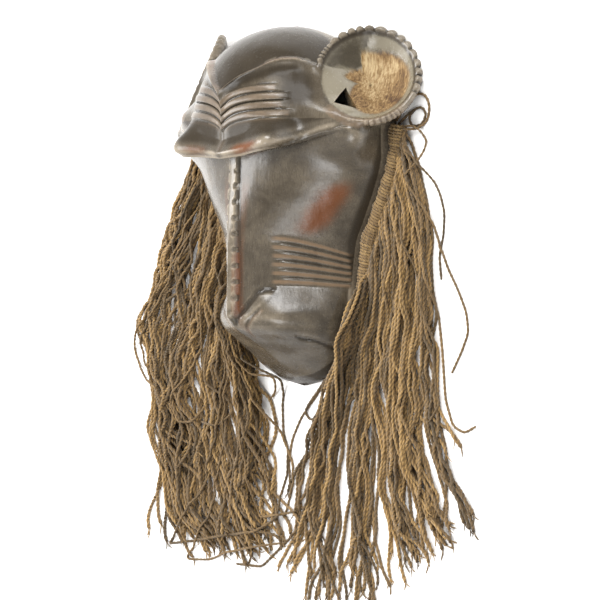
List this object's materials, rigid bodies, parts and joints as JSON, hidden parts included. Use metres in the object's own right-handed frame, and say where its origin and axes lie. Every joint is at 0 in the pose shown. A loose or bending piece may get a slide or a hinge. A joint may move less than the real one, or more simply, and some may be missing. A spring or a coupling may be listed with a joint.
{
  "type": "carved monkey mask",
  "caption": "Long carved wooden monkey mask with a ribbed brow, cupped ears and a hollow back, bound with cord and fringed with long loose fibre cords.",
  "frame": {"origin": "on the floor under the middle of the bounding box; the mask lies face up on its rim", "axes": "+Z out of the face, +Y up the face towards the crown, +X to the right of someone who looks at the face"},
  "size_m": [0.3506, 0.4286, 0.0947],
  "materials": {
    "dark_wood": "waxed semi-gloss, worn",
    "fibre_cord": "matt, frayed"
  },
  "bodies": {
    "root": {"carved_mask": "dark_wood", "cord_roll_left": "fibre_cord", "cord_roll_right": "fibre_cord", "fringe_lock_left_1": "fibre_cord", "fringe_lock_left_2": "fibre_cord", "fringe_lock_left_3": "fibre_cord", "fringe_lock_left_4": "fibre_cord", "fringe_lock_left_5": "fibre_cord", "fringe_lock_left_6": "fibre_cord", "fringe_lock_left_7": "fibre_cord", "fringe_lock_left_8": "fibre_cord", "fringe_lock_left_9": "fibre_cord", "fringe_lock_right_1": "fibre_cord", "fringe_lock_right_2": "fibre_cord", "fringe_lock_right_3": "fibre_cord", "fringe_lock_right_4": "fibre_cord", "fringe_lock_right_5": "fibre_cord", "fringe_lock_right_6": "fibre_cord", "fringe_lock_right_7": "fibre_cord", "fringe_lock_right_8": "fibre_cord", "fringe_lock_right_9": "fibre_cord"}
  },
  "joints": []
}
